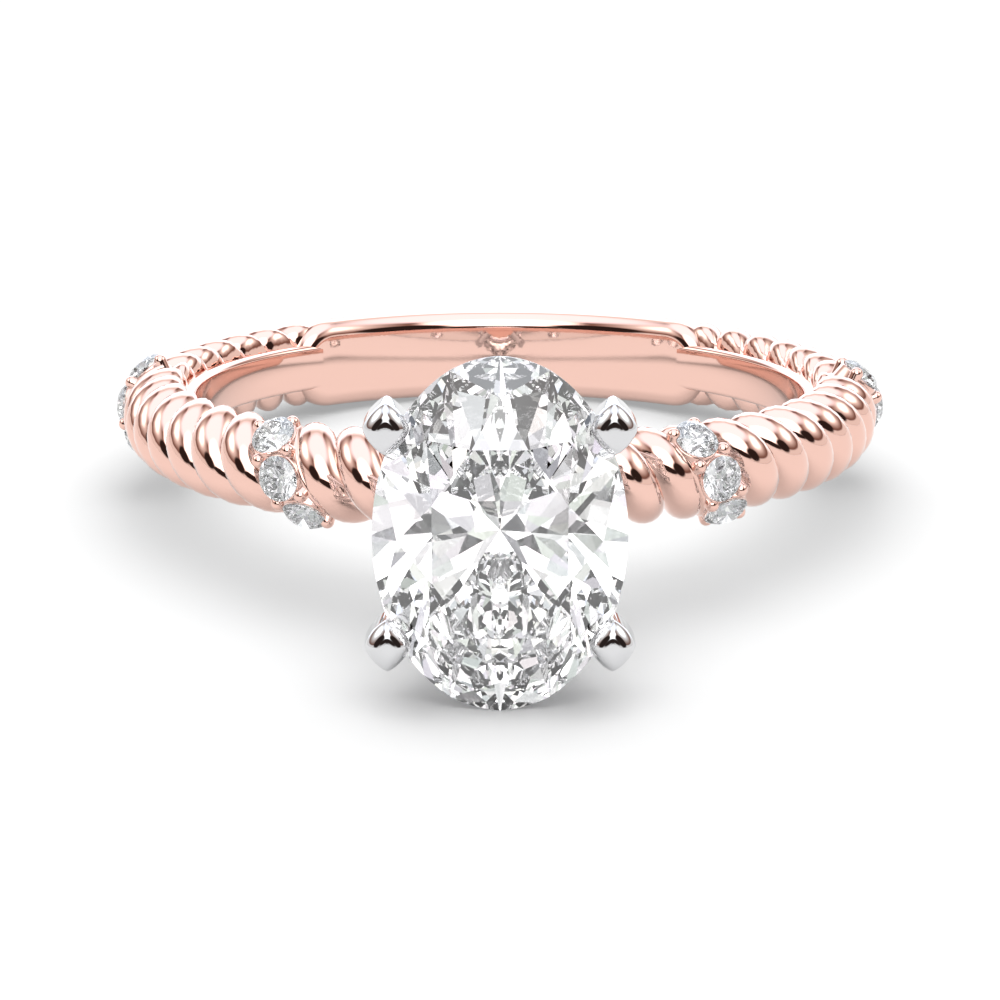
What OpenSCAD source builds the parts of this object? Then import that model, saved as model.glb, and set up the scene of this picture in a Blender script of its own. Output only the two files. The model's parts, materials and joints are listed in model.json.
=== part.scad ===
// Twisted shank ring: a rose gold rope shank on an inner sleeve, a smooth back
// bar, four wraps of three small stones, and a white metal head with four claws
// round one oval brilliant. All lengths are in millimetres.
//
// Everything is drawn in the ring's own axes: the finger goes along Z and the
// head points to -Y. The last step lays the ring down as it rests by itself.

/* [Finger hole] */
// Radius of the finger hole
finger_r = 8.25; // [7:0.05:11]
// Width of the inner sleeve along the finger
sleeve_w = 1.3; // [0.9:0.05:1.8]
// Thickness of the inner sleeve
sleeve_t = 0.35; // [0.3:0.05:0.6]
// Rounding of the sleeve's edges
sleeve_edge = 0.15; // [0.05:0.05:0.25]

/* [Twisted rope] */
// Diameter over both strands
rope_d = 2.44; // [2:0.02:3]
// Diameter of one round strand
strand_d = 1.1; // [1:0.02:1.2]
// Distance from the finger hole to the middle of the rope
rope_lift = 0.77; // [0.7:0.01:1]
// Turns that the strands make in one full circle
rope_turns = 25; // [20:1:30]
// Angle from the head at which a strand crests on top, on the left side
crest_at = 30.5; // [0:0.5:90]

/* [Back bar] */
// Angle that the bar spans to each side of the back
bar_span = 36; // [20:1:50]
// Width of the bar along the finger
bar_w = 2.54; // [2:0.02:3]
// Thickness of the bar at the back
bar_t = 2.05; // [1.6:0.05:2.4]
// Rounding of the bar's two inner edges
bar_edge = 0.45; // [0.2:0.05:0.6]

/* [Stone wraps] */
// Angle from the head to the middle stone of a front wrap
front_wrap_at = 32.3; // [28:0.1:45]
// Angle from the head to the middle stone of a side wrap
side_wrap_at = 93; // [70:0.5:110]
// Slant of a row of stones against the finger's direction
wrap_slant = 24; // [0:1:35]
// Diameter of an accent stone
accent_d = 1.15; // [0.9:0.05:1.3]
// Height of an accent stone's girdle above the middle of the rope
accent_lift = 1.27; // [1.2:0.01:1.4]
// Distance between the middles of neighbouring accent stones, along the row
accent_step = 1.2; // [1.15:0.01:1.4]
// Metal left round an accent stone
collar_wall = 0.09; // [0.05:0.01:0.15]
// Diameter of a bead prong
bead_d = 0.36; // [0.25:0.01:0.45]
// Distance of a bead prong from the row's middle line
bead_off = 0.43; // [0.35:0.01:0.5]

/* [Centre stone] */
// Length of the oval stone, along the finger
stone_l = 8.35; // [7:0.1:9.5]
// Width of the oval stone
stone_w = 5.9; // [5:0.1:7]
// Height of the crown, girdle to table
crown_h = 0.9; // [0.6:0.05:1.2]
// Thickness of the girdle
girdle_t = 0.12; // [0.06:0.02:0.2]
// Depth of the pavilion, girdle to culet
pavilion_h = 2.6; // [2:0.05:3]
// Width of the table as a share of the stone's width
table_share = 0.57; // [0.5:0.01:0.65]
// Height of the girdle above the finger hole
stone_lift = 6.4; // [5.4:0.05:7]

/* [Head] */
// Height of the head's seat above the finger hole
seat_lift = 1.65; // [1.5:0.05:1.9]
// Radius of the head's round base
base_r = 1.1; // [0.9:0.05:1.3]
// Height of the head's round base
base_h = 0.6; // [0.4:0.05:0.8]
// Diameter of a prong's wire
prong_d = 0.84; // [0.6:0.02:1]
// Sideways place of a claw's middle
claw_x = 2.6; // [2.4:0.01:3]
// Place of a claw's middle along the finger
claw_z = 2.55; // [2.3:0.01:3]
// Height of a claw's top above the girdle
claw_h = 0.72; // [0.5:0.02:1]
// Half width of a claw, corner to corner, across the finger
claw_half_x = 0.54; // [0.4:0.02:0.7]
// Half width of a claw, corner to corner, along the finger
claw_half_z = 0.62; // [0.4:0.02:0.7]
// Height of the gallery rail above the finger hole
rail_lift = 4; // [3.5:0.05:4.5]
// Diameter of the rail's wire
rail_d = 0.56; // [0.4:0.02:0.7]

/* [Fit] */
// Gap between a stone and its metal, and between head and shank
gap = 0.03; // [0.02:0.01:0.05]

/* [Hidden] */
$fn = 48;
sides = ["left", "right"];
wraps = ["front", "side"];

// Depth by which joined pieces run into each other
sink = 0.05;
// Corner arcs are drawn with this many chords
arc_steps = 4;

// The rope's middle, its strands, and what one turn advances
rope_r = finger_r + rope_lift;
turn_length = 360 / rope_turns * PI / 180 * rope_r;
strand_r = strand_d / 2;
strand_orbit = rope_d / 2 - strand_r;
// Solid middle of the rope, where its two strands are soldered together
rope_core = 0.66 * strand_d;
// The rope is drawn with this many points round it and sections per turn
rope_sides = 12;
turn_sections = 10;
// The rope starts in the pad under the head and ends inside the bar
pad_r = base_r + 0.25;
rope_start = asin((base_r + 0.15) / (finger_r + seat_lift));
rope_end = 180 - bar_span;

// A wrap's row of stones: the angles from one stone to the next
row_psi = accent_step * cos(wrap_slant) / accent_lift * 180 / PI;
row_phi = accent_step * sin(wrap_slant) / (rope_r + accent_lift) * 180 / PI;
accent_r = accent_d / 2;
// The last beads stand this many stone steps from the middle stone
end_bead = 1.35;
// A bead's stem starts inside the rope, at this height from the rope's middle
bead_foot = 0.8;
// Depth of the collar round an accent stone, and the hole under its point
collar_h = 0.6;
drill_r = 0.05;
// A smooth neck carries each wrap, and the rope stops short of the beads
neck_r = 0.94 * accent_lift - 0.25;
wrap_half = end_bead * row_phi
    + (bead_off + bead_d / 2 + sink) / (rope_r + accent_lift) * 180 / PI;
accent_crown = 0.15 * accent_d;
accent_girdle = 0.03 * accent_d;
accent_pavilion = 0.43 * accent_d;

// Heights from the finger's axis
girdle_y = finger_r + stone_lift;
seat_y = finger_r + seat_lift;
rail_y = finger_r + rail_lift;
// Where the kites and the pavilion mains have their side corners, as shares
kite_share = 0.8;
main_share = 0.24;
// Short sides in each sixteenth of the centre stone's girdle
girdle_arc = 3;
// The claw's rounded top is part of a ball, and it starts below the girdle
claw_ball = 0.95;
claw_depth = 0.45;
claw_ball_y = girdle_y + claw_h - claw_ball;

// The bar's section: its widest place, and the dome from there outward
bar_half = bar_w / 2;
bar_mid = finger_r + bar_edge;
bar_dome = bar_t - bar_edge;
// Each end of the bar is a round nose, a little slimmer than the bar
nose = 0.97;
nose_sink = 0.3;

// At rest the ring stands on the oval's lower end and on the bar's lower edge.
// The bar's lowest point moves a little as the ring tilts, so the tilt is
// found in a few rounds.
function bar_bulge(t) = norm([bar_dome * sin(t), bar_half * cos(t)]);
function settle(t, rounds) =
    rounds == 0 ? t : settle(
        atan2(stone_l / 2 - bar_bulge(t) / cos(t), girdle_y + bar_mid), rounds - 1);
rest_tilt = settle(7, 4);
rest_z = bar_mid * sin(rest_tilt) + bar_bulge(rest_tilt);
// The table's lower edge reaches furthest to the front, the dome to the back
table_y = girdle_y + girdle_t + crown_h;
table_low = stone_l / 2 * table_share * cos(22.5);
front_reach = table_y * cos(rest_tilt) + table_low * sin(rest_tilt);
back_reach = bar_mid * cos(rest_tilt)
    + norm([bar_dome * cos(rest_tilt), bar_half * sin(rest_tilt)]);
rest_y = (front_reach - back_reach) / 2;

function accent_name(w, s, i) = str("accent_", w, "_", s, "_", i);

// Lays the ring down as it rests, with its lowest point at zero height
module at_rest()
    translate([0, rest_y, rest_z]) rotate([-rest_tilt, 0, 0]) children();

// Turns a child to an angle from the head: its X points outward, Z stays
module at_ring(phi) rotate([0, 0, phi - 90]) children();

// Stands a child on the rope: its Z points out of the rope at the angle psi
module on_rope(phi, psi)
    at_ring(phi) translate([rope_r, 0, 0]) rotate([0, 90 - psi, 0]) children();

// Stands a child on the finger's axis with its Z pointing through the head
module on_head() rotate([90, 0, 0]) children();

// The right side is the left side turned half round the head's axis
module side(s) rotate([0, s == "left" ? 0 : 180, 0]) children();

// How far the rope reaches at an angle from a strand's middle: the outermost of
// the balls that roll along the strand, seen in one flat section
function rope_reach(a) = max([rope_core, for (u = [-90:6:90])
    let (along = u / 360 * turn_length,
         off = strand_orbit * sin(a - u),
         rest = strand_r * strand_r - along * along - off * off)
    rest > 0 ? strand_orbit * cos(a - u) + sqrt(rest) : 0]);

// One flat section of the rope, turned by the twist, and trimmed so that it
// stops inside the sleeve's wall
rope_shape = [for (j = [0:rope_sides - 1])
    let (a = j * 360 / rope_sides) rope_reach(a > 90 && a < 270 ? a - 180 : a)];
rope_trim = finger_r + sleeve_t - sink;
function rope_point(phi, j) =
    let (psi = 90 - rope_turns * (phi + crest_at) + j * 360 / rope_sides,
         r = rope_shape[j],
         out = max(rope_r + r * cos(psi), rope_trim),
         keep = cos(psi) < 0 ? min(1, (rope_r - out) / (-r * cos(psi))) : 1)
    [out * sin(phi), -out * cos(phi), r * keep * sin(psi)];

module rope(from, to) {
    rings = ceil((to - from) * rope_turns / 360 * turn_sections);
    n = rope_sides;
    points = [for (k = [0:rings], j = [0:n - 1])
        rope_point(-from - (to - from) * k / rings, j)];
    faces = concat(
        [[for (j = [0:n - 1]) j]],
        [for (k = [0:rings - 1], j = [0:n - 1])
            let (a = k * n + j, b = k * n + (j + 1) % n) [a, a + n, b]],
        [for (k = [0:rings - 1], j = [0:n - 1])
            let (a = k * n + j, b = k * n + (j + 1) % n) [b, a + n, b + n]],
        [[for (j = [n - 1:-1:0]) rings * n + j]]
    );
    polyhedron(points, faces, convexity = 10);
}

// A round corner as points, from one angle to another
function corner(x, y, rx, ry, from, to, steps) = [for (i = [0:steps])
    let (a = from + (to - from) * i / steps) [x + rx * cos(a), y + ry * sin(a)]];

// Sleeve: a thin flat band with rounded edges, drilled later by the finger hole
module sleeve() {
    out = finger_r + sleeve_t;
    e = sleeve_edge;
    h = sleeve_w / 2 - e;
    mid = finger_r + e - 0.1 * e;
    rotate_extrude() polygon(concat(
        corner(out - e, -h, e, e, -90, 0, arc_steps),
        corner(out - e, h, e, e, 0, 90, arc_steps),
        corner(mid, h, e, e, 90, 180, arc_steps),
        [[finger_r - 4 * sink, h], [finger_r - 4 * sink, -h]],
        corner(mid, -h, e, e, 180, 270, arc_steps)
    ));
}

// Half of the bar's section: x is the distance from the middle of its width,
// y the distance from the finger's axis
function bar_half_section() = concat(
    [[0, finger_r - 3 * sink], [bar_half - bar_edge, finger_r - 3 * sink]],
    corner(bar_half - bar_edge, bar_mid - 0.05 * bar_edge,
        bar_edge, bar_edge, -90, 0, arc_steps),
    corner(0, bar_mid, bar_half, bar_dome, 10, 90, 2 * arc_steps)
);

module bar() {
    half = bar_half_section();
    section = concat(
        [for (p = half) [p[1], p[0]]],
        [for (i = [len(half) - 2:-1:1]) [half[i][1], -half[i][0]]]
    );
    at_ring(180) {
        rotate([0, 0, -bar_span])
            rotate_extrude(angle = 2 * bar_span) polygon(section);
        for (s = [-1, 1]) rotate([0, 0, s * (bar_span - nose_sink)])
            rotate([0, 90, 0]) scale([nose, nose, 1])
                rotate_extrude() polygon(half);
    }
}

// Visits the three stones of a wrap, from the top one down
module each_stone(at) for (i = [-1:1]) place_stone(at, i) children();
module place_stone(at, i)
    on_rope(-at + i * row_phi, -i * row_psi) translate([0, 0, accent_lift])
        children();

// What a stone and its gap take from the metal
module accent_room() {
    translate([0, 0, -accent_pavilion - gap])
        cylinder(h = accent_pavilion, r1 = drill_r, r2 = accent_r + gap);
    translate([0, 0, -gap - 0.001])
        cylinder(h = accent_girdle + 2 * gap, r = accent_r + gap);
    translate([0, 0, accent_girdle + gap - 0.002])
        cylinder(h = 2 * accent_crown, r1 = accent_r + gap, r2 = 0.2 * accent_r);
}

// A wrap's metal: a neck, three collars and eight bead prongs
module wrap(at) {
    collar_r = accent_r + collar_wall;
    reach = wrap_half + 1;
    at_ring(-at - reach) rotate_extrude(angle = 2 * reach)
        translate([rope_r, 0]) circle(r = neck_r);
    difference() {
        each_stone(at) translate([0, 0, -collar_h])
            cylinder(h = collar_h + accent_girdle, r = collar_r);
        each_stone(at) cylinder(h = 1, r = accent_r + gap);
    }
    // Two beads stand between neighbours and two at each end of the row
    for (i = [-end_bead, -0.5, 0.5, end_bead], s = [-1, 1])
        on_rope(-at + i * row_phi, -i * row_psi)
            rotate([0, 0, wrap_slant]) translate([0, s * bead_off, 0]) bead();
}

module bead() {
    top = accent_lift + accent_crown;
    translate([0, 0, top - bead_d / 2]) sphere(d = bead_d);
    translate([0, 0, bead_foot]) cylinder(h = top - bead_d / 2 - bead_foot, d = bead_d);
}

// Pad between the two ends of the rope, under the head
module pad() on_head() translate([0, 0, finger_r - 2 * sink])
    cylinder(h = seat_lift + 2 * sink, r = pad_r);

// The smooth metal is drilled and cut for its stones before the rope joins it
module shank() color("#e8b7a2") {
    difference() {
        union() {
            sleeve();
            bar();
            pad();
            for (s = sides, at = [front_wrap_at, side_wrap_at]) side(s) wrap(at);
        }
        for (s = sides, at = [front_wrap_at, side_wrap_at]) side(s)
            each_stone(at) accent_room();
        cylinder(h = 4 * bar_w, r = finger_r, center = true, $fn = 96);
    }
    for (s = sides) side(s) {
        rope(rope_start, front_wrap_at - wrap_half);
        rope(front_wrap_at + wrap_half, side_wrap_at - wrap_half);
        rope(side_wrap_at + wrap_half, rope_end);
    }
}

// A brilliant cut, girdle's lower edge at zero height: an eight-sided table,
// star, kite and girdle facets on the crown, mains and halves on the pavilion.
// The girdle has as many short sides in each sixteenth as arc says.
module brilliant(l, w, crown, girdle, pavilion, arc = 1, grow = 0) {
    function ring(n, from, share, z) = [for (i = [0:n - 1])
        let (a = from + i * 360 / n)
        [(w / 2 * share + grow) * cos(a), (l / 2 * share + grow) * sin(a), z]];
    top = girdle + grow;
    rim = 16 * arc;
    points = concat(
        ring(8, 22.5, table_share, top + crown),
        ring(8, 0, kite_share, top + crown * (1 - kite_share * cos(22.5))
            / (1 - table_share)),
        ring(8, 0, main_share, -grow - pavilion * (1 - main_share * cos(22.5))),
        [[0, 0, -grow - pavilion]],
        ring(rim, 0, 1, top),
        ring(rim, 0, 1, -grow)
    );
    mid = 8;
    deep = 16;
    culet = 24;
    upper = 25;
    lower = upper + rim;
    faces = concat(
        [[for (i = [7:-1:0]) i]],
        // Star facets, and the two halves of each kite
        [for (i = [0:7]) [(i + 7) % 8, i, mid + i]],
        [for (i = [0:7]) [i, upper + (2 * i + 1) * arc, mid + i]],
        [for (i = [0:7]) [i, mid + (i + 1) % 8, upper + (2 * i + 1) * arc]],
        // Girdle facets of the crown, as fans from the kites' side corners
        [for (i = [0:7], k = [-arc:arc - 1])
            [mid + i, upper + (2 * i * arc + k + 1 + rim) % rim,
                upper + (2 * i * arc + k + rim) % rim]],
        [for (i = [0:rim - 1])
            [upper + i, upper + (i + 1) % rim, lower + (i + 1) % rim, lower + i]],
        // Lower halves, and the two halves of each pavilion main
        [for (i = [0:7], k = [-arc:arc - 1])
            [lower + (2 * i * arc + k + rim) % rim,
                lower + (2 * i * arc + k + 1 + rim) % rim, deep + i]],
        [for (i = [0:7])
            [deep + i, lower + (2 * i + 1) * arc, deep + (i + 1) % 8]],
        [for (i = [0:7]) [deep + i, deep + (i + 1) % 8, culet]]
    );
    polyhedron(points, faces);
}

module centre_stone() color("#f4f6f8") on_head() translate([0, 0, girdle_y])
    brilliant(stone_l, stone_w, crown_h, girdle_t, pavilion_h, girdle_arc);

module accent_stone(w, s, i) color("#e9edf0")
    side(s) place_stone(w == "front" ? front_wrap_at : side_wrap_at, i - 2)
        brilliant(accent_d, accent_d, accent_crown, accent_girdle, accent_pavilion);

// A straight wire from one point to another
module wire(from, to, d) {
    v = to - from;
    translate(from) rotate([0, acos(v[2] / norm(v)), atan2(v[1], v[0])])
        cylinder(h = norm(v), d = d);
}

// Head: a round base, four prongs that lean outward, a rail that ties them, and
// a soft four-cornered claw on each prong
module head() color("#c9cbce") on_head() difference() {
    foot = 0.6 * base_r;
    union() {
        translate([0, 0, seat_y + gap]) cylinder(h = base_h, r = base_r);
        for (x = [-1, 1], y = [-1, 1]) {
            low = [x * foot, y * foot, seat_y + gap + base_h / 2];
            wire(low, [x * claw_x, y * claw_z, girdle_y + girdle_t], prong_d);
            translate([x * claw_x, y * claw_z, 0]) claw();
        }
        rail(foot);
    }
    translate([0, 0, girdle_y])
        brilliant(stone_l, stone_w, crown_h, girdle_t, pavilion_h, girdle_arc, gap);
}

// The rail runs through the middles of the four prongs
module rail(foot) {
    low = seat_y + gap + base_h / 2;
    share = (rail_y - low) / (girdle_y + girdle_t - low);
    x = foot + share * (claw_x - foot);
    y = foot + share * (claw_z - foot);
    translate([0, 0, rail_y]) rotate_extrude()
        translate([norm([x, y]), 0]) circle(d = rail_d);
}

// A claw is a rhombus with round corners, cut from above by a ball
module claw() {
    low = girdle_y - claw_depth;
    intersection() {
        translate([0, 0, low]) linear_extrude(2 * claw_h + claw_depth)
            polygon(rhombus(claw_half_x, claw_half_z));
        translate([0, 0, claw_ball_y]) sphere(r = claw_ball);
    }
}

function rhombus(rx, ry) = [for (i = [0:23])
    let (a = i * 15, k = pow(pow(abs(cos(a)), 1.4) + pow(abs(sin(a)), 1.4), -1 / 1.4))
    [rx * k * cos(a), ry * k * sin(a)]];

at_rest() shank();
at_rest() head();
at_rest() centre_stone();
for (w = wraps, s = sides, i = [1:3])
    at_rest() accent_stone(w, s, i);
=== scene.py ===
# %% [markdown]
# # A twisted shank ring with an oval stone
#
# The ring is a rose gold rope of two strands, soldered round a thin smooth sleeve, with a
# plain bar at the back of the finger. Four slanted rows of three small stones cross the rope,
# and a white metal head holds an oval brilliant in four claws.
#
# The construction model comes first, as a fixed frame in metres. The script measures the
# finger hole from it, and then makes each piece in the ring's own axes, in millimetres: the
# finger goes along Z and the head points to -Y. One matrix lays every piece down where the
# ring rests.

import json
import math

import bmesh
import bpy
from mathutils import Matrix, Vector


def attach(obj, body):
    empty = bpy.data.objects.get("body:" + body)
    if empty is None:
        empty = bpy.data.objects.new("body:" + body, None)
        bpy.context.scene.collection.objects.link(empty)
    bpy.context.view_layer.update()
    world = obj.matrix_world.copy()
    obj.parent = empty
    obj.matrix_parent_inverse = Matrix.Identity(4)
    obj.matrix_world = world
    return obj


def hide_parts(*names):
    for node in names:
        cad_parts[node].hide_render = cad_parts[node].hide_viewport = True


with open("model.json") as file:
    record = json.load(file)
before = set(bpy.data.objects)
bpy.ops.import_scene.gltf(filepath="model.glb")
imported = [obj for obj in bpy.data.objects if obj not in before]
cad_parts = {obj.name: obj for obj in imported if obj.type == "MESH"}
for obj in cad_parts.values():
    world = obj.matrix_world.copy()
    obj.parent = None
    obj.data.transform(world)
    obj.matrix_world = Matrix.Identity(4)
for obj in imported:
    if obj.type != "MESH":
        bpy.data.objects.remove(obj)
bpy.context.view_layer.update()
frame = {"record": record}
scene = bpy.context.scene
mounts = {mount["name"]: mount for mount in frame["record"]["mounts"]}
bore = mounts["finger_bore"]
finger_r = bore["dims"]["r_mm"]
bore_axis = Vector(bore["axis"])
rest_tilt = math.atan2(bore_axis.y, bore_axis.z)
MM = 0.001
lay_down = (
    Matrix.Translation(Vector(bore["pos_m"]))
    @ Matrix.Rotation(-rest_tilt, 4, "X")
    @ Matrix.Scale(MM, 4)
)
print("finger hole radius", finger_r, "mm, ring tilted", round(math.degrees(rest_tilt), 2))

# %% [markdown]
# ## The camera
#
# The photograph looks at the ring from in front and a little above, from close by, so the back
# of the ring is clearly smaller than the front. The camera's place is given in the ring's own
# axes: a distance and a height angle. It points a little off the ring's middle, so that the
# ring sits where it does in the picture. The ring is the same on both sides, so there is no
# sideways shift.

# %% Camera
eye_distance = 90.0
eye_height = 11.3
lens_mm = 118.38
sensor_mm = 36.0
middle_up = 0.0902

eye = Matrix.Rotation(math.radians(-eye_height), 3, "X") @ Vector((0, -eye_distance, 0))
look = Matrix.Rotation(math.atan(-middle_up * sensor_mm / lens_mm), 3, "X") @ -eye
camera_data = bpy.data.cameras.new("camera")
camera_data.lens = lens_mm
camera_data.sensor_width = sensor_mm
camera_data.clip_start = MM
camera = bpy.data.objects.new("camera", camera_data)
scene.collection.objects.link(camera)
camera.location = lay_down @ eye
camera.rotation_euler = (lay_down.to_3x3() @ look).to_track_quat("-Z", "Y").to_euler()
scene.camera = camera
print("camera at", [round(x, 4) for x in camera.location])

# %% [markdown]
# ## Shader maths
#
# A procedural material is arithmetic on sockets. A small class wraps a socket, so that an
# expression such as `1 - mask` adds its own Math node, and one method makes any other node.

# %% Node helpers
class Socket:
    """An output socket that can be used in sums."""

    def __init__(self, tree, out):
        self.tree = tree
        self.out = out

    def math(self, operation, a, b):
        return node(self.tree, "ShaderNodeMath", {"operation": operation}, {0: a, 1: b})

    def __add__(self, other):
        return self.math("ADD", self, other)

    def __mul__(self, other):
        return self.math("MULTIPLY", self, other)

    def __rsub__(self, other):
        return self.math("SUBTRACT", other, self)


def node(tree, kind, settings=None, inputs=None, out=0):
    """Adds a node, sets it up, feeds its sockets and returns one output."""
    made = tree.nodes.new(kind)
    for name, value in (settings or {}).items():
        if name == "stops":
            fill_ramp(made.color_ramp, value)
        else:
            setattr(made, name, value)
    for name, value in (inputs or {}).items():
        if isinstance(value, Socket):
            tree.links.new(value.out, made.inputs[name])
        else:
            made.inputs[name].default_value = value
    return Socket(tree, made.outputs[out])


def fill_ramp(ramp, stops):
    """Sets a colour ramp's stops, each a place and a level or a colour."""
    while len(ramp.elements) > 1:
        ramp.elements.remove(ramp.elements[-1])
    for i, (place, value) in enumerate(stops):
        element = ramp.elements[0] if i == 0 else ramp.elements.new(place)
        element.position = place
        colour = value if isinstance(value, tuple) else (value, value, value)
        element.color = (*colour, 1.0)


def principled(name, shader_inputs):
    """A material with one Principled shader whose sockets take values or links."""
    material = bpy.data.materials.new(name)
    material.use_nodes = True
    tree = material.node_tree
    shader = tree.nodes["Principled BSDF"]
    for socket, value in shader_inputs(tree).items():
        if isinstance(value, Socket):
            tree.links.new(value.out, shader.inputs[socket])
        else:
            shader.inputs[socket].default_value = value
    return material


# %% [markdown]
# ## Polished metal
#
# Rose gold and white gold are both a mirror with a colour. What makes them look real is not
# the colour but what they mirror, and a polish that is never perfect: very fine wheel marks,
# and soft patches where the roughness changes by a few hundredths. Both are noise on Object
# coordinates, which are metres here. So a scale of 700 gives patches of about 1.4 mm, and one
# of 9000 gives marks of a tenth of a millimetre.

# %% Metals
patch_scale = 700.0
mark_scale = 9000.0
mark_depth = 0.01 * MM
tint_share = 0.35
tint_power = 1.08


def polished(colour, low, high, marks):
    """A mirror whose roughness goes from low to high, with faint wheel marks."""
    deeper = [c ** tint_power for c in colour]

    def inputs(tree):
        place = node(tree, "ShaderNodeTexCoord", out="Object")
        patches = node(tree, "ShaderNodeTexNoise", {}, {
            "Vector": place, "Scale": patch_scale, "Detail": 2.0})
        scratches = node(tree, "ShaderNodeTexNoise", {}, {
            "Vector": place, "Scale": mark_scale, "Detail": 3.0})
        bump = node(tree, "ShaderNodeBump", {}, {
            "Strength": marks, "Distance": mark_depth, "Height": scratches})
        tint = node(tree, "ShaderNodeMix", {"data_type": "RGBA"}, {
            "Factor": patches * tint_share, "A": (*colour, 1.0), "B": (*deeper, 1.0)}, out=2)
        return {
            "Base Color": tint,
            "Metallic": 1.0,
            "Roughness": patches * (high - low) + low,
            "Normal": bump,
        }
    return inputs


rose_gold = principled("rose_gold", polished(
    (0.86, 0.565, 0.48), low=0.02, high=0.06, marks=0.03))
white_gold = principled("white_gold", polished(
    (0.70, 0.70, 0.71), low=0.02, high=0.05, marks=0.02))

# %% [markdown]
# ## Cut diamond
#
# A cut stone is a clear body with flat mirrors at its back. All its life comes from light that
# goes in through the crown, is turned round by the pavilion and comes out again, so the shader
# is plain clear glass with diamond's refractive index of 2.42, and the facets are real flat
# faces with flat shading. The small stones get a greyer tone than the large one, which is
# painted shade: it stands for the dark that lies under them, which the real ones show more of.

# %% Diamond
diamond_ior = 2.42


def clear_stone(tone):
    """Clear glass that tints what passes through with a tone; a grey tone paints shade into the
    stone.
    """
    def inputs(tree):
        return {
            "Base Color": (*tone, 1.0),
            "Roughness": 0.0,
            "IOR": diamond_ior,
            "Transmission Weight": 1.0,
        }
    return inputs


diamond = principled("diamond", clear_stone((0.985, 0.99, 1.0)))
# The small stones' grey tone is painted shade: it darkens all they let through, standing for the
# dark under them.
small_diamond = principled("small_diamond", clear_stone((0.5, 0.51, 0.52)))

# %% [markdown]
# ## Making a piece
#
# Each piece starts as a bmesh in millimetres, in the ring's axes. One function turns it into
# an object: it lays it down, sets its material, shades it smooth but for edges sharper than a
# given angle, tells the frame which body it rides on, and hides the parts it stands for.
#
# It also keeps light tidy, as a retoucher would. Rose gold is left out of what the stones let
# through and of the soft light it would throw on the floor, so that neither turns pink.

# %% Piece helper
def make_piece(name, bm, material, replaces, sharp=30.0):
    """Makes an object of a bmesh in millimetres, which it uses up."""
    bmesh.ops.recalc_face_normals(bm, faces=bm.faces)
    bm.transform(lay_down)
    for face in bm.faces:
        face.smooth = True
    for edge in bm.edges:
        bent = edge.calc_face_angle(0.0)
        edge.smooth = len(edge.link_faces) == 2 and bent < math.radians(sharp)
    mesh = bpy.data.meshes.new(name)
    bm.to_mesh(mesh)
    bm.free()
    mesh.materials.append(material)
    piece = bpy.data.objects.new(name, mesh)
    scene.collection.objects.link(piece)
    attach(piece, "root")
    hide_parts(*replaces)
    piece.visible_transmission = material is not rose_gold
    piece.visible_diffuse = material is not rose_gold
    print(name, len(mesh.polygons), "faces")
    return piece


# %% Places on the ring
def at_ring(phi):
    """X points outward at an angle from the head, and Z stays along the finger."""
    return Matrix.Rotation(math.radians(phi - 90), 4, "Z")


# The right side is the left one after half a turn about the line through the head.
sides = {"left": Matrix.Identity(4), "right": Matrix.Rotation(math.pi, 4, "Y")}

# %% Bmesh helpers
steep_angle = 50


def copy_into(bm, part, matrix):
    """Adds a part to a bmesh, moved by a matrix."""
    part.transform(matrix)
    mesh = bpy.data.meshes.new("part")
    part.to_mesh(mesh)
    part.free()
    bm.from_mesh(mesh)
    bpy.data.meshes.remove(mesh)


def outline_edges(bm, points):
    """An open line of edges through some points."""
    verts = [bm.verts.new(p) for p in points]
    edges = [bm.edges.new(pair) for pair in zip(verts, verts[1:])]
    return [*verts, *edges]


def open_edges(bm):
    """The edges that have a face on one side only."""
    return [e for e in bm.edges if e.is_boundary]


def steep_edges(bm):
    """The edges where two faces meet at a steep angle."""
    return [e for e in bm.edges if e.calc_face_angle(0.0) > math.radians(steep_angle)]


def next_ring(bm, ring):
    """Extrudes a ring of edges in place and returns the new ring's corners and edges."""
    grown = bmesh.ops.extrude_edge_only(bm, edges=ring)["geom"]
    verts = [g for g in grown if isinstance(g, bmesh.types.BMVert)]
    edges = [g for g in grown if isinstance(g, bmesh.types.BMEdge)
             and all(v in verts for v in g.verts)]
    return verts, edges


# %% [markdown]
# ## The sleeve
#
# The sleeve is the smooth band that touches the finger. It is a short piece of tube with
# rounded edges: an outline in one plane, rounded with a bevel and spun a full turn round the
# finger's axis.

# %% Sleeve
sleeve_w = 1.3
sleeve_t = 0.35
sleeve_edge = 0.13
ring_steps = 240


def sleeve():
    """A rectangle with rounded corners, spun round the finger."""
    bm = bmesh.new()
    bmesh.ops.create_grid(bm, x_segments=1, y_segments=1, size=0.5)
    bmesh.ops.scale(bm, vec=(sleeve_t, sleeve_w, 1), verts=bm.verts)
    bmesh.ops.rotate(bm, matrix=Matrix.Rotation(math.pi / 2, 3, "X"), verts=bm.verts)
    bmesh.ops.translate(bm, vec=(finger_r + sleeve_t / 2, 0, 0), verts=bm.verts)
    bmesh.ops.bevel(
        bm, geom=bm.verts, offset=sleeve_edge, segments=5, profile=0.5,
        affect="VERTICES", material=-1)
    bmesh.ops.delete(bm, geom=bm.faces, context="FACES_ONLY")
    bmesh.ops.spin(
        bm, geom=[*bm.verts, *bm.edges], axis=(0, 0, 1), cent=(0, 0, 0),
        angle=math.tau, steps=ring_steps, use_merge=True)
    return bm


make_piece("inner_sleeve", sleeve(), rose_gold, ["shank"])

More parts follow.
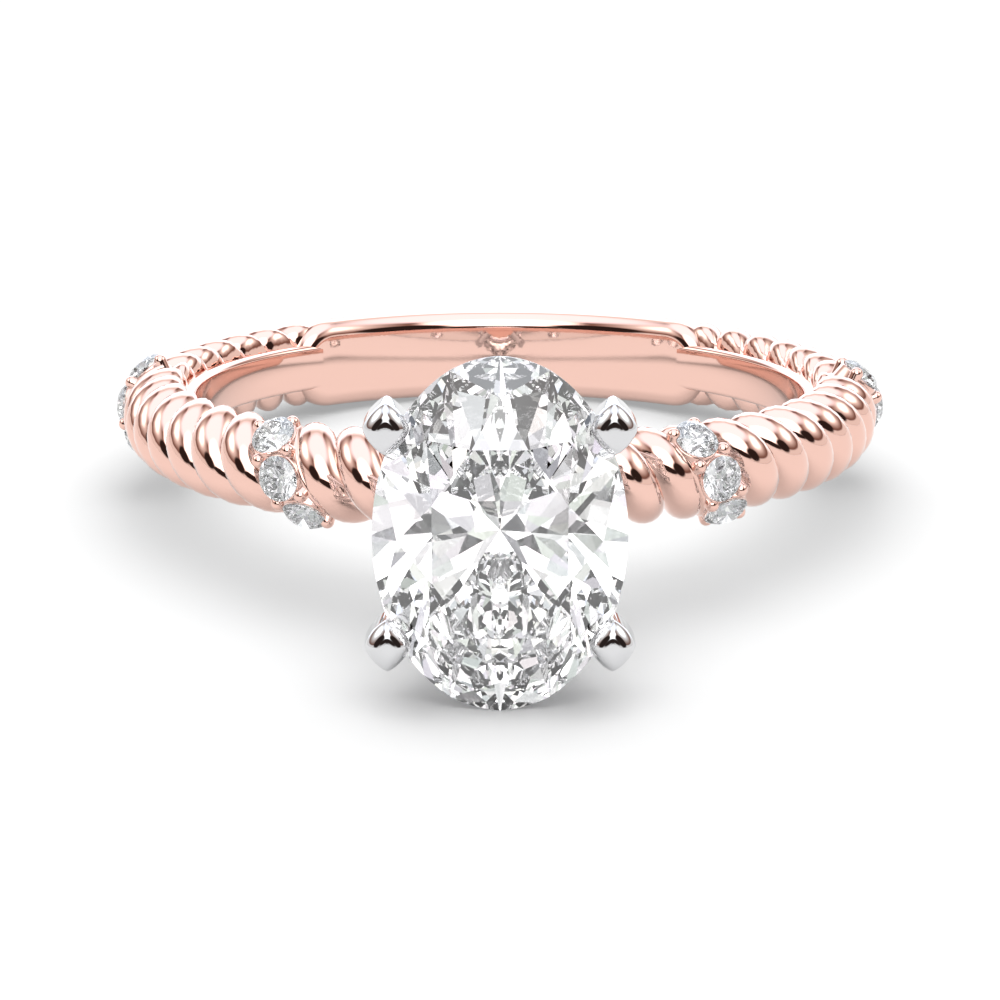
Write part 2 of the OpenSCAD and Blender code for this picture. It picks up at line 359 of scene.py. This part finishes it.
# %% [markdown]
# ## The rope
#
# A goldsmith twists two round wires together first, and then bends the rope round a mandrel.
# The same two steps work here. A circle, tipped to stand square to the wire's path, is spun
# round the rope's axis with a small step forward at each turn, which gives a straight twisted
# wire with round ends. Then every point is moved from straight to bent: its distance along the
# rope becomes an angle round the finger. Towards the sleeve the wires are pressed flatter, by a
# curve that starts gently, so that they stay round where they can be seen.

# %% Rope sizes
rope_off = 0.77
rope_r = finger_r + rope_off
strand_r = 0.55
orbit = 0.67
turns = 25
crest_at = 30.5
pressed_r = finger_r + 0.25
circle_sides = 20
turn_steps = 28
end_rings = 5
end_hole = 0.02

pitch = math.tau * rope_r / turns
lead = math.atan2(pitch, math.tau * orbit)
reach = orbit + strand_r
room = rope_r - pressed_r
softness = room * reach / (reach - room)
print("strands advance", round(pitch, 2), "mm a turn")


# %% One strand
def round_end(bm, edges, centre, forward):
    """Closes an open end with half a ball, in rings that shrink and move forward."""
    ring = edges
    for k in range(1, end_rings + 1):
        angle = math.pi / 2 * k / end_rings
        before = math.pi / 2 * (k - 1) / end_rings
        verts, ring = next_ring(bm, ring)
        shrink = max(math.cos(angle), end_hole) / math.cos(before)
        here = centre + forward * (strand_r * math.sin(before))
        bmesh.ops.scale(bm, vec=(shrink,) * 3, space=Matrix.Translation(-here), verts=verts)
        onward = forward * strand_r * (math.sin(angle) - math.sin(before))
        bmesh.ops.translate(bm, vec=onward, verts=verts)
    bmesh.ops.holes_fill(bm, edges=ring, sides=0)


def strand(start, end, phase):
    """One wire on the left side, from one angle to another, bent round the finger."""
    bm = bmesh.new()
    psi = math.radians(90 - turns * (crest_at - start) + phase)
    swept = math.radians(turns * (end - start))
    steps = math.ceil(swept / math.tau * turn_steps)
    along = -math.radians(start) * rope_r
    run = -math.radians(end - start) * rope_r
    circle = bmesh.ops.create_circle(bm, segments=circle_sides, radius=strand_r)["verts"]
    first = bm.edges[:]
    place = (Matrix.Translation((along, 0, 0)) @ Matrix.Rotation(psi, 4, "X")
             @ Matrix.Translation((0, orbit, 0)) @ Matrix.Rotation(-lead, 4, "Y"))
    bmesh.ops.transform(bm, matrix=place, verts=circle)
    last = bmesh.ops.spin(
        bm, geom=[*circle, *first], cent=(0, 0, 0), axis=(1, 0, 0),
        dvec=(run / steps, 0, 0), angle=swept, steps=steps)["geom_last"]
    last_edges = [g for g in last if isinstance(g, bmesh.types.BMEdge)]
    for edges, sign in ((first, -1), (last_edges, 1)):
        ends = [v.co for e in edges for v in e.verts]
        centre = sum(ends, Vector()) / len(ends)
        around = Vector((1, 0, 0)).cross(centre).normalized()
        forward = (around * math.cos(lead) - Vector((math.sin(lead), 0, 0))) * sign
        round_end(bm, edges, centre, forward)
    bend(bm)
    return bm


def bend(bm):
    """Bends a straight rope round the finger and presses its inner half flatter."""
    for v in bm.verts:
        phi = v.co.x / rope_r
        outward = v.co.y
        if outward < 0:
            outward /= 1 - outward / softness
        r = rope_r + outward
        v.co = (r * math.sin(phi), -r * math.cos(phi), v.co.z)


# %% [markdown]
# Each row of small stones takes the place of one crossing of a strand over the outside of the
# rope. So a strand stops beside the row, on the top of the rope, and starts again under it.
# The rope also ends under the head and inside the back bar. Places along the rope are angles
# from the head, and strand_hidden is an angle of the twist.

# %% Both strands of both sides
front_row_at = 32.3
side_row_at = 93.0
rope_start = 7.25
rope_end = 142.5
strand_hidden = 118


def crossing(at):
    """The angle and strand whose outside crossing lies nearest to a row of stones."""
    count = round((at - (crest_at - 90 / turns)) * 2 * turns / 360)
    return crest_at - 90 / turns + count * 180 / turns, count % 2


def runs(number):
    """The stretches of one strand, cut at the rows that replace its crossings."""
    start = rope_start
    found = []
    for at in (front_row_at, side_row_at):
        middle, which = crossing(at)
        if which == number:
            found.append((start, middle - strand_hidden / turns))
            start = middle + strand_hidden / turns
    return [*found, (start, rope_end)]


def take_from_reflections(piece):
    """Leaves a piece out of what polished metal and stones mirror."""
    piece.visible_glossy = False


for side, turn in sides.items():
    rope = bmesh.new()
    for number in range(2):
        for start, end in runs(number):
            copy_into(rope, strand(start, end, 180 * number), turn)
    twisted = make_piece("rope_" + side, rope, rose_gold, ["shank"])
    take_from_reflections(twisted)

# %% [markdown]
# Solder fills the middle of the rope. It is a plain round rod along the rope's axis: a circle
# that is spun with a step forward and with almost no turn, which makes rings that can be bent.

# %% Core between the strands
core_r = 0.74
core_sides = 24
core_steps = 90
almost_no_turn = 0.001


def core(start, end):
    """The rod from one angle to another, bent round the finger."""
    bm = bmesh.new()
    circle = bmesh.ops.create_circle(bm, segments=core_sides, radius=core_r)["verts"]
    bmesh.ops.rotate(bm, matrix=Matrix.Rotation(math.pi / 2, 3, "Y"), verts=circle)
    bmesh.ops.translate(bm, vec=(-math.radians(start) * rope_r, 0, 0), verts=circle)
    run = -math.radians(end - start) * rope_r
    bmesh.ops.spin(
        bm, geom=[*circle, *bm.edges[:]], cent=(0, 0, 0), axis=(1, 0, 0),
        dvec=(run / core_steps, 0, 0), angle=almost_no_turn, steps=core_steps)
    bmesh.ops.holes_fill(bm, edges=open_edges(bm), sides=0)
    bend(bm)
    return bm


for side, turn in sides.items():
    middle = bmesh.new()
    copy_into(middle, core(rope_start, rope_end), turn)
    make_piece("rope_core_" + side, middle, rose_gold, ["shank"])

# %% [markdown]
# ## The back bar
#
# The bar's section is a D: flat towards the finger with two rounded corners, and domed
# outward. The section is spun along the back of the ring. At each end half the section is
# spun half a turn about the line that points outward, which closes the bar with a nose of the
# same shape.

# %% Back bar
bar_span = 36.0
bar_half = 1.27
bar_t = 2.05
bar_edge = 0.45
bar_inner = finger_r - 0.01
arc_steps = 8
bar_steps = 72
nose_steps = 24
bar_merge = 0.002


def bar_outline():
    """Half of the section, from the finger side outward: width first, then radius."""
    middle = bar_inner + bar_edge
    points = [(0.0, bar_inner)]
    for k in range(arc_steps + 1):
        a = math.radians(-90 + 90 * k / arc_steps)
        width = bar_half - bar_edge + bar_edge * math.cos(a)
        points.append((width, middle + bar_edge * math.sin(a)))
    for k in range(1, 2 * arc_steps + 1):
        a = math.radians(90 * k / (2 * arc_steps))
        points.append((bar_half * math.cos(a), middle + (bar_t - bar_edge) * math.sin(a)))
    return points


def back_bar():
    """The spun section with a nose at each end."""
    bm = bmesh.new()
    half = bar_outline()
    full = [(r, 0, w) for w, r in half] + [(r, 0, -w) for w, r in reversed(half[1:-1])]
    geom = outline_edges(bm, [*full, full[0]])
    bmesh.ops.transform(bm, matrix=at_ring(180 - bar_span), verts=bm.verts)
    bmesh.ops.spin(
        bm, geom=geom, axis=(0, 0, 1), cent=(0, 0, 0),
        angle=math.radians(2 * bar_span), steps=bar_steps)
    for sign in (-1, 1):
        nose = bmesh.new()
        geom = outline_edges(nose, [(r, 0, w) for w, r in half])
        bmesh.ops.spin(
            nose, geom=geom, axis=(1, 0, 0), cent=(0, 0, 0),
            angle=-sign * math.pi, steps=nose_steps)
        copy_into(bm, nose, at_ring(180 + sign * bar_span))
    bmesh.ops.remove_doubles(bm, verts=bm.verts, dist=bar_merge)
    return bm


make_piece("back_bar", back_bar(), rose_gold, ["shank"], sharp=50)

# %% [markdown]
# ## Rows of small stones
#
# Each row lies on a thin saddle that bends over the rope at a slant. The saddle is a flat grid
# that is bent round the rope, thickened and bevelled. On it each stone has a cup, a short tube
# that is open below for the stone's point, and a thin wire finishes the edge that faces the
# head. Eight bead prongs hold the stones: four between neighbours, shared, and two at each end.
#
# A twisted rope beside three stones reflects itself many times over, which turns to noise. So
# the rope and the rows are left out of reflections, and show only the studio.

# %% Row sizes
row_slant = math.radians(24)
accent_d = 1.15
accent_lift = 1.27
accent_step = 1.2
bead_r = 0.18
bead_off = 0.43
end_bead = 1.35
accent_crown = 0.15 * accent_d
row_psi = math.degrees(accent_step * math.cos(row_slant) / accent_lift)
row_phi = math.degrees(accent_step * math.sin(row_slant) / (rope_r + accent_lift))


def on_rope(phi, psi):
    """Z points out of the rope at the angle psi round it."""
    return (at_ring(phi) @ Matrix.Translation((rope_r, 0, 0))
            @ Matrix.Rotation(math.radians(90 - psi), 4, "Y"))


def on_row(at, step):
    """A place on a row, counted in stones from its middle one."""
    return on_rope(-at + step * row_phi, -step * row_psi)


def slanted(at, step):
    """The same place with Y across the row."""
    return on_row(at, step) @ Matrix.Rotation(row_slant, 4, "Z")


# %% Saddle
saddle_r = 0.77
saddle_t = 0.2
saddle_half = 0.5
saddle_reach = 1.8
saddle_rim = 0.05


def saddle(at):
    """A bent band with softened edges that carries the whole row."""
    bm = bmesh.new()
    bmesh.ops.create_grid(bm, x_segments=30, y_segments=6, size=1.0)
    for v in bm.verts:
        v.co = slanted(at, v.co.x * saddle_reach) @ Vector((0, v.co.y * saddle_half, saddle_r))
    bmesh.ops.recalc_face_normals(bm, faces=bm.faces)
    bmesh.ops.solidify(bm, geom=bm.faces[:], thickness=saddle_t)
    bmesh.ops.bevel(
        bm, geom=steep_edges(bm), offset=saddle_rim, segments=3, profile=0.5,
        affect="EDGES", material=-1)
    return bm


# %% Cup
cup_r = 0.6
cup_hole = 0.4
cup_depth = 0.52
cup_under = 0.05
cup_rim = 0.04
cup_slope = 0.1
cup_steps = 48
row_merge = 0.0005


def cup():
    """What a stone sits in: a short tube with a soft rim, open for the stone's point."""
    bm = bmesh.new()
    top = accent_lift - cup_under
    low = accent_lift - cup_depth
    points = [(cup_hole, low), (cup_r, low), (cup_r, top - cup_rim)]
    for degrees in (30, 60, 90):
        a = math.radians(degrees)
        r = cup_r - cup_rim + cup_rim * math.cos(a)
        points.append((r, top - cup_rim + cup_rim * math.sin(a)))
    points += [(cup_hole + cup_slope, top - cup_slope), (cup_hole, low)]
    geom = outline_edges(bm, [(r, 0, z) for r, z in points])
    bmesh.ops.spin(
        bm, geom=geom, axis=(0, 0, 1), cent=(0, 0, 0),
        angle=math.tau, steps=cup_steps, use_merge=True)
    bmesh.ops.remove_doubles(bm, verts=bm.verts, dist=row_merge)
    return bm


# %% Edge wire
edge_r = 0.1
edge_off = 0.57
edge_under = 0.2
edge_reach = 1.35


def edge_wire(at):
    """A thin wire along the head's side of the row: a grid rolled up and bent."""
    bm = bmesh.new()
    bmesh.ops.create_grid(bm, x_segments=40, y_segments=12, size=1.0)
    for v in bm.verts:
        a = v.co.y * math.pi
        across = edge_off + edge_r * math.cos(a)
        lift = accent_lift - edge_under + edge_r * math.sin(a)
        v.co = slanted(at, v.co.x * edge_reach) @ Vector((0, across, lift))
    bmesh.ops.remove_doubles(bm, verts=bm.verts, dist=row_merge)
    bmesh.ops.holes_fill(bm, edges=open_edges(bm), sides=0)
    return bm


# %% Bead prongs
bead_foot = 0.8
bead_sides = 20


def bead():
    """A round prong end on a short stem."""
    bm = bmesh.new()
    middle = accent_lift + accent_crown - bead_r
    ball = bmesh.ops.create_uvsphere(
        bm, u_segments=bead_sides, v_segments=12, radius=bead_r)["verts"]
    bmesh.ops.translate(bm, vec=(0, 0, middle), verts=ball)
    stem = bmesh.ops.create_cone(
        bm, cap_ends=True, segments=bead_sides, radius1=bead_r, radius2=bead_r,
        depth=middle - bead_foot)["verts"]
    bmesh.ops.translate(bm, vec=(0, 0, (bead_foot + middle) / 2), verts=stem)
    return bm


# %% The four rows
for side, turn in sides.items():
    for name, at in (("front", front_row_at), ("side", side_row_at)):
        row = bmesh.new()
        copy_into(row, saddle(at), turn)
        copy_into(row, edge_wire(at), turn)
        for step in (-1, 0, 1):
            copy_into(row, cup(), turn @ on_row(at, step))
        for step in (-end_bead, -0.5, 0.5, end_bead):
            for across in (-bead_off, bead_off):
                place = slanted(at, step) @ Matrix.Translation((0, across, 0))
                copy_into(row, bead(), turn @ place)
        wrap = make_piece(
            f"{name}_row_{side}", row, rose_gold, ["shank"], sharp=40)
        take_from_reflections(wrap)

# %% [markdown]
# ## Cutting a brilliant
#
# A cutter starts from a round preform and grinds one flat facet after another. bisect_plane
# does the same: each facet is a plane, and what lies outside it is cut off and the hole is
# filled. The 57 planes of a round brilliant come from a few proportions. A round stone that is
# stretched in one direction is an oval one, because a plane stays a plane when it is
# stretched. Cut this way, the girdle is a smooth oval with the small scallops of a real stone.

# %% Facets of a brilliant
table_share = 0.57
kite_share = 0.8
main_share = 0.24


def polar(angle, r, z):
    """A point from its angle, its distance from the axis and its height."""
    return Vector((r * math.cos(angle), r * math.sin(angle), z))


def facet_planes(crown, girdle, pavilion):
    """Three points of every facet plane, for a girdle radius of one."""
    eighth = math.tau / 8
    half = eighth / 2
    planes = [[polar(a, 0.1, girdle + crown) for a in (0, 2, 4)]]
    kite_z = girdle + crown * (1 - kite_share * math.cos(half)) / (1 - table_share)
    main_z = -pavilion * (1 - main_share * math.cos(half))
    for i in range(8):
        star = i * eighth
        kite = star + half
        tangent = polar(kite + math.pi / 2, 1, 0)
        planes.append([polar(kite, 1, girdle), polar(kite, 1, girdle) + tangent,
                       polar(kite, table_share, girdle + crown)])
        planes.append([polar(star - half, table_share, girdle + crown),
                       polar(star + half, table_share, girdle + crown),
                       polar(star, kite_share, kite_z)])
        planes.append([polar(kite, 1, 0), polar(kite, 1, 0) + tangent,
                       Vector((0, 0, -pavilion))])
        for sign in (-1, 1):
            planes.append([polar(star, kite_share, kite_z), polar(star, 1, girdle),
                           polar(star + sign * half, 1, girdle)])
            planes.append([polar(star, main_share, main_z), polar(star, 1, 0),
                           polar(star + sign * half, 1, 0)])
    return planes


def brilliant(length, width, crown, girdle, pavilion, girdle_sides):
    """A cut stone with its girdle's lower edge at zero height."""
    bm = bmesh.new()
    unit = width / 2
    bmesh.ops.create_cone(
        bm, cap_ends=True, segments=girdle_sides, radius1=1.0, radius2=1.0, depth=4.0)
    for a, b, c in facet_planes(crown / unit, girdle / unit, pavilion / unit):
        normal = (b - a).cross(c - a).normalized()
        if normal.dot(a - Vector((0, 0, girdle / unit / 2))) < 0:
            normal.negate()
        cut = bmesh.ops.bisect_plane(
            bm, geom=[*bm.verts, *bm.edges, *bm.faces], plane_co=a, plane_no=normal,
            dist=1e-6, clear_outer=True)["geom_cut"]
        edges = [g for g in cut if isinstance(g, bmesh.types.BMEdge) and g.is_boundary]
        bmesh.ops.holes_fill(bm, edges=edges, sides=0)
    bmesh.ops.scale(bm, vec=(unit, length / 2, unit), verts=bm.verts)
    return bm


# %% Centre stone
stone_l = 8.35
stone_w = 5.9
crown_h = 0.9
girdle_t = 0.12
pavilion_h = 2.6
stone_sides = 160
facet_angle = 4
girdle_y = finger_r + 6.4

# Z points out of the ring through the head.
on_head = Matrix.Rotation(math.pi / 2, 4, "X")

stone = bmesh.new()
copy_into(stone, brilliant(stone_l, stone_w, crown_h, girdle_t, pavilion_h, stone_sides),
          on_head @ Matrix.Translation((0, 0, girdle_y)))
make_piece("oval_brilliant", stone, diamond, ["centre_stone"],
           sharp=facet_angle)

# %% Small stones
accent_girdle = 0.03 * accent_d
accent_pavilion = 0.43 * accent_d
accent_sides = 64

for side, turn in sides.items():
    for name, at in (("front", front_row_at), ("side", side_row_at)):
        for i in range(3):
            small = bmesh.new()
            place = turn @ on_row(at, i - 1) @ Matrix.Translation((0, 0, accent_lift))
            copy_into(small, brilliant(
                accent_d, accent_d, accent_crown, accent_girdle, accent_pavilion,
                accent_sides), place)
            cad_name = f"accent_{name}_{side}_{i + 1}"
            make_piece(cad_name + "_brilliant", small, small_diamond,
                       [cad_name], sharp=facet_angle)

# %% [markdown]
# ## The head
#
# The head is a small basket of white gold. Four prongs lean out from a round base to the
# oval's corners, and one round rail ties them together. Each prong ends in a claw that is filed
# to a soft pillow with four corners and pressed over the stone. The head stands on a round pad
# of rose gold, which is soldered to the rope's ends.

# %% Head sizes
seat_y = finger_r + 1.65
base_r = 1.1
base_h = 0.6
soft_rim = 0.12
foot_share = 0.6
prong_d = 0.84
claw_x = 2.6
claw_z = 2.55
claw_h = 0.72
claw_half_x = 0.54
claw_half_z = 0.62
claw_depth = 0.45
rail_y = finger_r + 4
rail_d = 0.56
gap = 0.03

# %% Claws
claw_corners = 1.4
claw_shoulder = 0.42 * claw_h
claw_dome = 0.75
claw_rings = 9
claw_sides = 48


def claw():
    """A pillow on four soft corners: rings of an upright rhombus that shrink as they rise."""
    bm = bmesh.new()
    ring = bmesh.ops.create_circle(bm, segments=claw_sides, radius=1.0)["verts"]
    for v in ring:
        a = math.atan2(v.co.y, v.co.x)
        spread = abs(math.cos(a)) ** claw_corners + abs(math.sin(a)) ** claw_corners
        size = spread ** (-1 / claw_corners)
        v.co = Vector((claw_half_x * size * math.cos(a), claw_half_z * size * math.sin(a), 0))
    edges = bm.edges[:]
    low = -claw_depth
    bmesh.ops.translate(bm, vec=(0, 0, low), verts=ring)
    heights = [(claw_shoulder, 1.0)]
    for k in range(1, claw_rings):
        a = math.pi / 2 * k / claw_rings
        height = claw_shoulder + (claw_h - claw_shoulder) * math.sin(a)
        heights.append((height, math.cos(a) ** claw_dome))
    before = 1.0
    for z, share in heights:
        verts, edges = next_ring(bm, edges)
        bmesh.ops.scale(bm, vec=(share / before, share / before, 1), verts=verts)
        bmesh.ops.translate(bm, vec=(0, 0, z - low), verts=verts)
        before = share
        low = z
    bmesh.ops.holes_fill(bm, edges=open_edges(bm), sides=0)
    return bm


# %% Prongs, rail and base
prong_sides = 24
rail_sides = 16
round_steps = 96


def wire(start, end, d):
    """A straight round wire between two points."""
    bm = bmesh.new()
    line = end - start
    bmesh.ops.create_cone(
        bm, cap_ends=True, segments=prong_sides, radius1=d / 2, radius2=d / 2,
        depth=line.length)
    turn = line.to_track_quat("Z", "Y").to_matrix().to_4x4()
    bm.transform(Matrix.Translation((start + end) / 2) @ turn)
    return bm


def rail(radius, d):
    """A round wire bent to a circle."""
    bm = bmesh.new()
    circle = bmesh.ops.create_circle(bm, segments=rail_sides, radius=d / 2)["verts"]
    bmesh.ops.rotate(bm, matrix=Matrix.Rotation(math.pi / 2, 3, "X"), verts=circle)
    bmesh.ops.translate(bm, vec=(radius, 0, 0), verts=circle)
    bmesh.ops.spin(
        bm, geom=[*circle, *bm.edges[:]], axis=(0, 0, 1), cent=(0, 0, 0), angle=math.tau,
        steps=round_steps, use_merge=True)
    return bm


def disc(radius, height):
    """A short round block with soft rims."""
    bm = bmesh.new()
    bmesh.ops.create_cone(
        bm, cap_ends=True, segments=round_steps, radius1=radius, radius2=radius,
        depth=height)
    bmesh.ops.bevel(
        bm, geom=steep_edges(bm), offset=soft_rim, segments=4, profile=0.5,
        affect="EDGES", material=-1)
    return bm


# %% The whole head
head = bmesh.new()
foot = foot_share * base_r
base_y = seat_y + gap + base_h / 2
copy_into(head, disc(base_r, base_h), on_head @ Matrix.Translation((0, 0, base_y)))
share = (rail_y - base_y) / (girdle_y + girdle_t - base_y)
rail_at = math.hypot(foot + share * (claw_x - foot), foot + share * (claw_z - foot))
copy_into(head, rail(rail_at, rail_d), on_head @ Matrix.Translation((0, 0, rail_y)))
for x in (-1, 1):
    for y in (-1, 1):
        start = Vector((x * foot, y * foot, base_y))
        end = Vector((x * claw_x, y * claw_z, girdle_y + girdle_t))
        copy_into(head, wire(start, end, prong_d), on_head)
        copy_into(head, claw(), on_head @ Matrix.Translation((x * claw_x, y * claw_z, girdle_y)))
make_piece("claw_head", head, white_gold, ["head"], sharp=40)

# %% Pad that carries the head
pad_r = base_r + 0.25
pad_foot = finger_r + 0.1

pad = bmesh.new()
copy_into(pad, disc(pad_r, seat_y - pad_foot),
          on_head @ Matrix.Translation((0, 0, (pad_foot + seat_y) / 2)))
make_piece("head_pad", pad, rose_gold, ["shank"], sharp=40)

# %% [markdown]
# ## The studio
#
# The ring lies on a white floor. Jewellery is lit by cards: metal shows the cards, and the
# dark gaps between them draw its shape. Here the sky itself is the set of cards. A card is an
# oval patch of sky, given by the way it lies in and its half sizes in degrees, and every card
# is there on both sides, so the light is even. A large white one at each side has a soft dark
# rim, which gives the rope its dark streaks. Dark ones stand low down in front, with a white
# one above them, and together they draw the mark on each claw.

# %% Floor
floor_half = 3000


def floor_inputs(tree):
    """Dull white card, with no gloss at all."""
    return {"Base Color": (0.88, 0.88, 0.88, 1.0), "Roughness": 0.8, "Specular IOR Level": 0.0}


floor_mesh = bpy.data.meshes.new("floor")
floor_bm = bmesh.new()
bmesh.ops.create_grid(floor_bm, x_segments=1, y_segments=1, size=floor_half * MM)
floor_bm.to_mesh(floor_mesh)
floor_bm.free()
floor = bpy.data.objects.new("floor", floor_mesh)
scene.collection.objects.link(floor)
floor_mesh.materials.append(principled("floor", floor_inputs))
floor.visible_transmission = False

# %% Directions of the sky
world = bpy.data.worlds.new("studio")
world.use_nodes = True
scene.world = world
sky = world.node_tree
direction = node(sky, "ShaderNodeTexCoord", out="Generated")
away = node(sky, "ShaderNodeSeparateXYZ", {}, {"Vector": direction}, out="Y")
height = node(sky, "ShaderNodeSeparateXYZ", {}, {"Vector": direction}, out="Z")
mirrored = node(sky, "ShaderNodeVectorMath", {"operation": "MULTIPLY"}, {
    0: direction, 1: (-1.0, 1.0, 1.0)})
folded = node(sky, "ShaderNodeVectorMath", {"operation": "MAXIMUM"}, {
    0: direction, 1: mirrored})


# %% An oval patch of sky
far_off = 10


def dot(vector):
    """How far the folded direction reaches along a vector."""
    return node(sky, "ShaderNodeVectorMath", {"operation": "DOT_PRODUCT"}, {
        0: folded, 1: vector}, out="Value")


def oval(turn, rise, half_turn, half_rise):
    """Distance from the middle of an oval patch, one at its rim, on both sides."""
    turn, rise = math.radians(turn), math.radians(rise)
    ahead = Vector((math.sin(turn), -math.cos(turn), 0))
    across = Vector((math.cos(turn), math.sin(turn), 0))
    middle = ahead * math.cos(rise) + Vector((0, 0, math.sin(rise)))
    up = Vector((0, 0, math.cos(rise))) - ahead * math.sin(rise)
    u = dot(across / math.sin(math.radians(half_turn)))
    v = dot(up / math.sin(math.radians(half_rise)))
    r = node(sky, "ShaderNodeMath", {"operation": "SQRT"}, {0: u * u + v * v})
    opposite = node(sky, "ShaderNodeMath", {"operation": "LESS_THAN"}, {0: dot(middle), 1: 0.0})
    return r + opposite * far_off


# %% Colours of the sky
def soft_step(value, low, high):
    """Zero below low and one above high, with a soft edge between."""
    return node(sky, "ShaderNodeMapRange", {"interpolation_type": "SMOOTHSTEP"}, {
        "Value": value, "From Min": low, "From Max": high})


def ramp(value, stops):
    """A colour from a row of stops."""
    return node(sky, "ShaderNodeValToRGB", {"stops": stops}, {"Fac": value})


def blend(amount, a, b):
    """Goes from one colour of the sky to another."""
    return node(sky, "ShaderNodeMix", {"data_type": "RGBA"}, {
        "Factor": amount, "A": a, "B": b}, out=2)


def grey(level):
    return (level, level, level, 1.0)


# %% The cards that metal shows
side_patch = (97, 38, 52, 27)
side_reach = 2
side_card = [
    (0.0, (2.6, 2.7, 2.7)), (0.17, (2.2, 2.3, 2.3)), (0.27, (1.0, 0.98, 0.97)),
    (0.36, (0.6, 0.52, 0.49)), (0.45, (0.3, 0.2, 0.17)), (0.5, (0.2, 0.11, 0.09)),
    (0.55, (0.95, 0.93, 0.92)), (1.0, (0.95, 0.95, 0.95))]
overhead = (1.55, 1.65, 1.85, 1.0)
overhead_rim = (0.72, 0.9)
back_wall = (2.0, 2.15, 2.4, 1.0)
back_rim = (0.65, 0.88)
dark_card = (0.03, 0.02, 0.018, 1.0)
front_cards = [
    ((0, 42, 30, 30), (0.7, 1.1), grey(2.8)),
    ((41, 18, 21, 17), (0.75, 1.1), dark_card),
    ((0, 10, 30, 9), (0.8, 1.1), dark_card),
]

studio = ramp(oval(*side_patch) * (1 / side_reach), side_card)
studio = blend(soft_step(height, *overhead_rim), studio, overhead)
studio = blend(soft_step(away, *back_rim), studio, back_wall)
for patch, rim, colour in front_cards:
    studio = blend(1 - soft_step(oval(*patch), *rim), studio, colour)
print(len(front_cards), "cards in front of the ring")

# %% [markdown]
# A stone would look empty with so few cards, because each of its facets finds just one spot
# of the sky. So the rays that come out of a stone see another sky, of many small cards from
# black to white with a trace of colour, and a dark gap where the metal of the head would be.

# %% Small cards, seen only through the stones
card_scale = 7.0
card_tint = 0.12
card_levels = [(0.0, 0.03), (0.12, 0.1), (0.2, 0.75), (0.7, 1.05), (1.0, 2.3)]
gap_patch = (0, 15, 13, 13)
gap_rim = (0.85, 1.05)
gap_level = 0.02

cells = node(sky, "ShaderNodeTexVoronoi", {}, {
    "Vector": direction, "Scale": card_scale}, out="Color")
chance = node(sky, "ShaderNodeSeparateXYZ", {}, {"Vector": cells}, out="X")
tinted = node(sky, "ShaderNodeVectorMath", {"operation": "MULTIPLY"}, {
    0: ramp(chance, card_levels), 1: blend(card_tint, grey(1.0), cells)})
head_gap = 1 - soft_step(oval(*gap_patch), *gap_rim)
fire = blend(head_gap, tinted, grey(gap_level))

# %% [markdown]
# The floor gets almost nothing from the sky: one large card above lights it, and its soft
# shadow is the photograph's. Metal and stones don't mirror that card. The camera itself sees
# plain white behind the floor.

# %% What each kind of ray sees
floor_glow = 0.1


def ray(kind):
    """One for rays of this kind."""
    return node(sky, "ShaderNodeLightPath", out=f"Is {kind} Ray")


seen = blend(ray("Transmission"), studio, fire)
seen = blend(ray("Diffuse"), seen, grey(floor_glow))
seen = blend(ray("Camera"), seen, grey(1.0))
sky.links.new(seen.out, sky.nodes["Background"].inputs["Color"])

# %% The card above
card_height = 520
card_side = 1000
card_power = 6.5

top_light = bpy.data.lights.new("top_card", "AREA")
top_light.shape = "SQUARE"
top_light.size = card_side * MM
top_light.energy = card_power
top_card = bpy.data.objects.new("top_card", top_light)
scene.collection.objects.link(top_card)
top_card.location = (0, 0, card_height * MM)
take_from_reflections(top_card)

# %% Render settings
scene.view_settings.view_transform = "Standard"
scene.cycles.max_bounces = 14
scene.cycles.glossy_bounces = 12
scene.cycles.transmission_bounces = 12
scene.cycles.use_denoising = True
